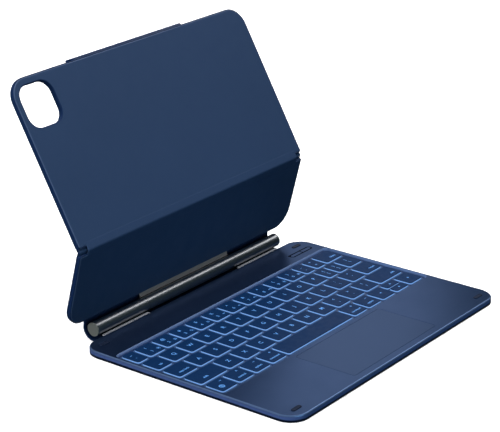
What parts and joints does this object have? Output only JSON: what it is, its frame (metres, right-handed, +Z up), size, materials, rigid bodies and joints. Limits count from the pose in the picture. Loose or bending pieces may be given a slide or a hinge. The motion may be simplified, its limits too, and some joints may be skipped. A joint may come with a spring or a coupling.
{
  "type": "tablet keyboard case",
  "caption": "Folding tablet keyboard case with a backlit keyboard deck, trackpad, barrel hinge and a two-panel magnetic cover with a closing strap.",
  "frame": {"origin": "middle of the keyboard deck's underside, on the table", "axes": "+X along the hinge, +Y from the deck's front edge towards the hinge, +Z up"},
  "size_m": [0.252, 0.2447, 0.1827],
  "materials": {
    "navy_metal": "satin navy anodised look",
    "deck_skin": "soft-touch polyurethane, near-black navy",
    "cover_skin": "soft-touch polyurethane, dark navy",
    "cover_lining": "smooth soft-touch lining, navy",
    "core_board": "stiff glass-filled board",
    "steel": "plain rolled steel",
    "gunmetal": "satin anodised gunmetal",
    "end_cap_grey": "matt grey",
    "bronze_leaf": "satin dark bronze",
    "clip_steel": "greased spring steel",
    "key_navy": "fine matt, backlit legends",
    "key_web": "satin, lit from below",
    "light_guide": "clear acrylic sheet",
    "membrane": "clear film",
    "trackpad_glass": "etched opaque glass, navy",
    "circuit_board": "solder mask",
    "battery_foil": "foil pouch",
    "port_steel": "nickel plated",
    "dark_plastic": "fine matt",
    "window_black": "dark lens",
    "bumper_rubber": "matt rubber",
    "magnet": "nickel plated"
  },
  "bodies": {
    "deck": {"top_case": "navy_metal", "deck_skin": "deck_skin", "bottom_plate": "steel", "case_screws": "steel", "key_web": "key_web", "key_support_plate": "steel", "light_guide": "light_guide", "switch_membrane": "membrane", "dome_sheet": "membrane", "trackpad_spring_plate": "steel", "battery_cells": "battery_foil", "main_board": "circuit_board", "usb_c_port": "port_steel", "power_switch_body": "dark_plastic", "indicator_window": "window_black", "bumper_pads": "bumper_rubber", "deck_hinge_brackets": "bronze_leaf", "hinge_end_barrels": "gunmetal", "barrel_end_caps": "end_cap_grey", "hinge_shaft": "steel", "spine_skin": "cover_skin"},
    "power_switch": {"power_switch_knob": "dark_plastic"},
    "trackpad": {"trackpad_plate": "trackpad_glass", "trackpad_board": "circuit_board"},
    "lower_cover": {"lower_core": "core_board", "lower_outer_skin": "cover_skin", "lower_inner_skin": "cover_lining", "cover_hinge_leaf": "bronze_leaf", "leaf_screws": "steel", "hinge_center_barrel": "gunmetal", "friction_clips": "clip_steel", "fold_hinge_skin": "cover_skin"},
    "upper_cover": {"upper_core": "core_board", "upper_outer_skin": "cover_skin", "upper_inner_skin": "cover_lining", "tablet_magnets": "magnet", "strap_tail": "cover_skin"},
    "strap": {"strap_skin": "cover_skin", "strap_magnet_bar": "steel"},
    "arrow_down_key": {"key_arrow_down": "key_navy"},
    "arrow_left_key": {"key_arrow_left": "key_navy"},
    "arrow_right_key": {"key_arrow_right": "key_navy"},
    "arrow_up_key": {"key_arrow_up": "key_navy"},
    "backspace_key": {"key_backspace": "key_navy"},
    "caps_lock_key": {"key_caps_lock": "key_navy"},
    "command_left_key": {"key_command_left": "key_navy"},
    "command_right_key": {"key_command_right": "key_navy"},
    "control_key": {"key_control": "key_navy"},
    "globe_key": {"key_globe": "key_navy"},
    "option_left_key": {"key_option_left": "key_navy"},
    "option_right_key": {"key_option_right": "key_navy"},
    "return_key": {"key_return": "key_navy"},
    "shift_left_key": {"key_shift_left": "key_navy"},
    "shift_right_key": {"key_shift_right": "key_navy"},
    "space_key": {"key_space": "key_navy"},
    "tab_key": {"key_tab": "key_navy"},
    "number_keys_body": {"number_keys": "key_navy"},
    "top_row_keys_body": {"top_row_keys": "key_navy"},
    "home_row_keys_body": {"home_row_keys": "key_navy"},
    "bottom_row_keys_body": {"bottom_row_keys": "key_navy"}
  },
  "joints": [
    {"name": "cover_hinge", "type": "hinge", "parent": "deck", "child": "lower_cover", "pos_m": [0, 0.0971, 0.0087], "axis": [1, 0, 0], "range_deg": [-20, 75.3], "deforming": ["spine_skin"]},
    {"name": "fold_hinge", "type": "hinge", "parent": "lower_cover", "child": "upper_cover", "pos_m": [0, 0.0859, 0.0747], "axis": [1, 0, 0], "range_deg": [-25, 44.4], "deforming": ["fold_hinge_skin"]},
    {"name": "strap_hinge", "type": "hinge", "parent": "upper_cover", "child": "strap", "pos_m": [0, 0.15293, 0.18072], "axis": [1, 0, 0], "range_deg": [0, 230]},
    {"name": "trackpad_click", "type": "slide", "parent": "deck", "child": "trackpad", "axis": [0, 0, -1], "range_m": [0, 0.0003], "stiffness_N_per_m": 1000, "springref_m": -0.0005},
    {"name": "power_switch_slide", "type": "slide", "parent": "deck", "child": "power_switch", "axis": [0, 1, 0], "range_m": [0, 0.003]},
    {"name": "arrow_down_press", "type": "slide", "parent": "deck", "child": "arrow_down_key", "axis": [0, 0, -1], "range_m": [0, 0.0007], "stiffness_N_per_m": 500, "springref_m": -0.0005},
    {"name": "arrow_left_press", "type": "slide", "parent": "deck", "child": "arrow_left_key", "axis": [0, 0, -1], "range_m": [0, 0.0007], "stiffness_N_per_m": 500, "springref_m": -0.0005},
    {"name": "arrow_right_press", "type": "slide", "parent": "deck", "child": "arrow_right_key", "axis": [0, 0, -1], "range_m": [0, 0.0007], "stiffness_N_per_m": 500, "springref_m": -0.0005},
    {"name": "arrow_up_press", "type": "slide", "parent": "deck", "child": "arrow_up_key", "axis": [0, 0, -1], "range_m": [0, 0.0007], "stiffness_N_per_m": 500, "springref_m": -0.0005},
    {"name": "backspace_press", "type": "slide", "parent": "deck", "child": "backspace_key", "axis": [0, 0, -1], "range_m": [0, 0.0007], "stiffness_N_per_m": 500, "springref_m": -0.0005},
    {"name": "caps_lock_press", "type": "slide", "parent": "deck", "child": "caps_lock_key", "axis": [0, 0, -1], "range_m": [0, 0.0007], "stiffness_N_per_m": 500, "springref_m": -0.0005},
    {"name": "command_left_press", "type": "slide", "parent": "deck", "child": "command_left_key", "axis": [0, 0, -1], "range_m": [0, 0.0007], "stiffness_N_per_m": 500, "springref_m": -0.0005},
    {"name": "command_right_press", "type": "slide", "parent": "deck", "child": "command_right_key", "axis": [0, 0, -1], "range_m": [0, 0.0007], "stiffness_N_per_m": 500, "springref_m": -0.0005},
    {"name": "control_press", "type": "slide", "parent": "deck", "child": "control_key", "axis": [0, 0, -1], "range_m": [0, 0.0007], "stiffness_N_per_m": 500, "springref_m": -0.0005},
    {"name": "globe_press", "type": "slide", "parent": "deck", "child": "globe_key", "axis": [0, 0, -1], "range_m": [0, 0.0007], "stiffness_N_per_m": 500, "springref_m": -0.0005},
    {"name": "option_left_press", "type": "slide", "parent": "deck", "child": "option_left_key", "axis": [0, 0, -1], "range_m": [0, 0.0007], "stiffness_N_per_m": 500, "springref_m": -0.0005},
    {"name": "option_right_press", "type": "slide", "parent": "deck", "child": "option_right_key", "axis": [0, 0, -1], "range_m": [0, 0.0007], "stiffness_N_per_m": 500, "springref_m": -0.0005},
    {"name": "return_press", "type": "slide", "parent": "deck", "child": "return_key", "axis": [0, 0, -1], "range_m": [0, 0.0007], "stiffness_N_per_m": 500, "springref_m": -0.0005},
    {"name": "shift_left_press", "type": "slide", "parent": "deck", "child": "shift_left_key", "axis": [0, 0, -1], "range_m": [0, 0.0007], "stiffness_N_per_m": 500, "springref_m": -0.0005},
    {"name": "shift_right_press", "type": "slide", "parent": "deck", "child": "shift_right_key", "axis": [0, 0, -1], "range_m": [0, 0.0007], "stiffness_N_per_m": 500, "springref_m": -0.0005},
    {"name": "space_press", "type": "slide", "parent": "deck", "child": "space_key", "axis": [0, 0, -1], "range_m": [0, 0.0007], "stiffness_N_per_m": 500, "springref_m": -0.0005},
    {"name": "tab_press", "type": "slide", "parent": "deck", "child": "tab_key", "axis": [0, 0, -1], "range_m": [0, 0.0007], "stiffness_N_per_m": 500, "springref_m": -0.0005},
    {"name": "number_keys_press", "type": "slide", "parent": "deck", "child": "number_keys_body", "axis": [0, 0, -1], "range_m": [0, 0.0007], "stiffness_N_per_m": 6500, "springref_m": -0.0005},
    {"name": "top_row_keys_press", "type": "slide", "parent": "deck", "child": "top_row_keys_body", "axis": [0, 0, -1], "range_m": [0, 0.0007], "stiffness_N_per_m": 6500, "springref_m": -0.0005},
    {"name": "home_row_keys_press", "type": "slide", "parent": "deck", "child": "home_row_keys_body", "axis": [0, 0, -1], "range_m": [0, 0.0007], "stiffness_N_per_m": 5500, "springref_m": -0.0005},
    {"name": "bottom_row_keys_press", "type": "slide", "parent": "deck", "child": "bottom_row_keys_body", "axis": [0, 0, -1], "range_m": [0, 0.0007], "stiffness_N_per_m": 5000, "springref_m": -0.0005}
  ]
}
